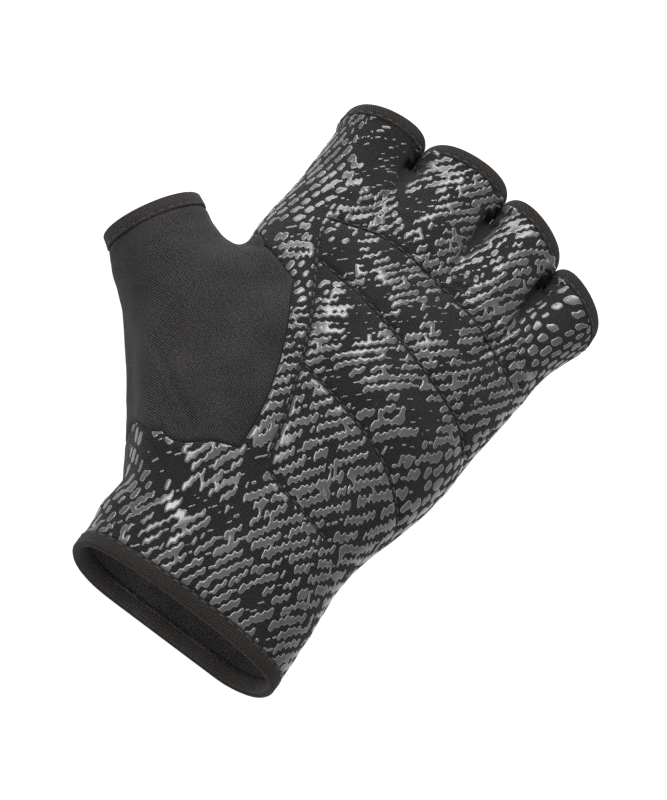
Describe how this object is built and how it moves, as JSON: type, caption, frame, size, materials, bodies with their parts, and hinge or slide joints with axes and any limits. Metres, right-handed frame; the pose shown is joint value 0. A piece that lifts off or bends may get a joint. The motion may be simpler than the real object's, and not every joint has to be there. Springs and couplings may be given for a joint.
{
  "type": "fingerless weightlifting glove",
  "caption": "Fingerless training glove for a left hand: grip-printed padded palm, plain back and thumb panel, bound wrist, thumb and finger openings, lying palm up.",
  "frame": {"origin": "under the middle of the glove's box, on the surface that it rests on", "axes": "+Y from the wrist to the fingers, +Z out of the palm, the thumb on the -X side"},
  "size_m": [0.1212, 0.1574, 0.0371],
  "materials": {
    "palm_knit": "dark charcoal twill-faced knit over thin foam",
    "plain_knit": "matt warm grey stretch knit",
    "thumb_knit": "matt warm grey stretch knit",
    "binding_tape": "folded knit tape, warm dark grey",
    "grip_print": "raised glossy silicone print",
    "thread": "dark sewing thread"
  },
  "bodies": {
    "root": {"palm_panel": "palm_knit", "back_panel": "plain_knit", "thumb_panel": "thumb_knit", "wrist_binding": "binding_tape", "thumb_binding": "binding_tape", "index_binding": "binding_tape", "middle_binding": "binding_tape", "ring_binding": "binding_tape", "little_binding": "binding_tape"}
  },
  "joints": []
}
